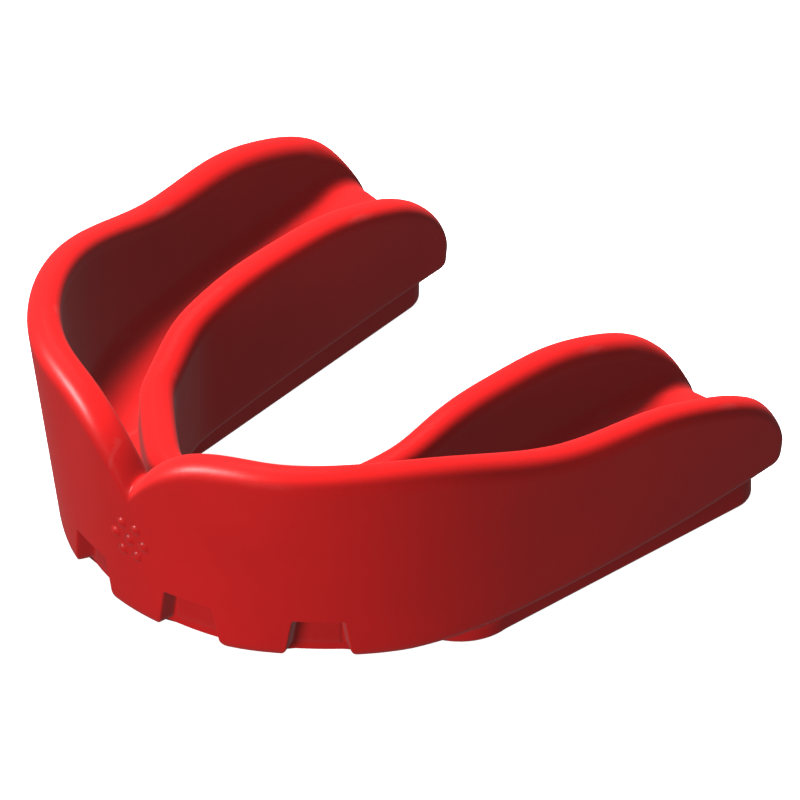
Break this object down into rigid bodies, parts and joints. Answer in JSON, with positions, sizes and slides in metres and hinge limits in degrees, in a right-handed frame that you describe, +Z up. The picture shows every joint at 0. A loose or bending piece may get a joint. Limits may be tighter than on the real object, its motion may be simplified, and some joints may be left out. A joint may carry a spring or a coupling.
{
  "type": "boil-and-bite mouthguard",
  "caption": "U-shaped boil-and-bite mouthguard with a rolled rim, an open tooth trough, a notched front foot and two rubber bite pads.",
  "frame": {"origin": "middle of the guard's footprint, in the plane that the bite pads rest on", "axes": "+Z up with the trough open upwards, -Y towards the lips, +X towards the wearer's left"},
  "size_m": [0.064, 0.0598, 0.0249],
  "materials": {
    "shell": "semi-gloss moulded elastomer",
    "liner": "satin thermoplastic lining",
    "frame": "satin moulded rubber",
    "pad": "satin moulded rubber"
  },
  "bodies": {
    "root": {"outer_shell": "shell", "fit_liner": "liner", "rubber_frame": "frame", "bite_pad_left": "pad", "bite_pad_right": "pad"}
  },
  "joints": []
}
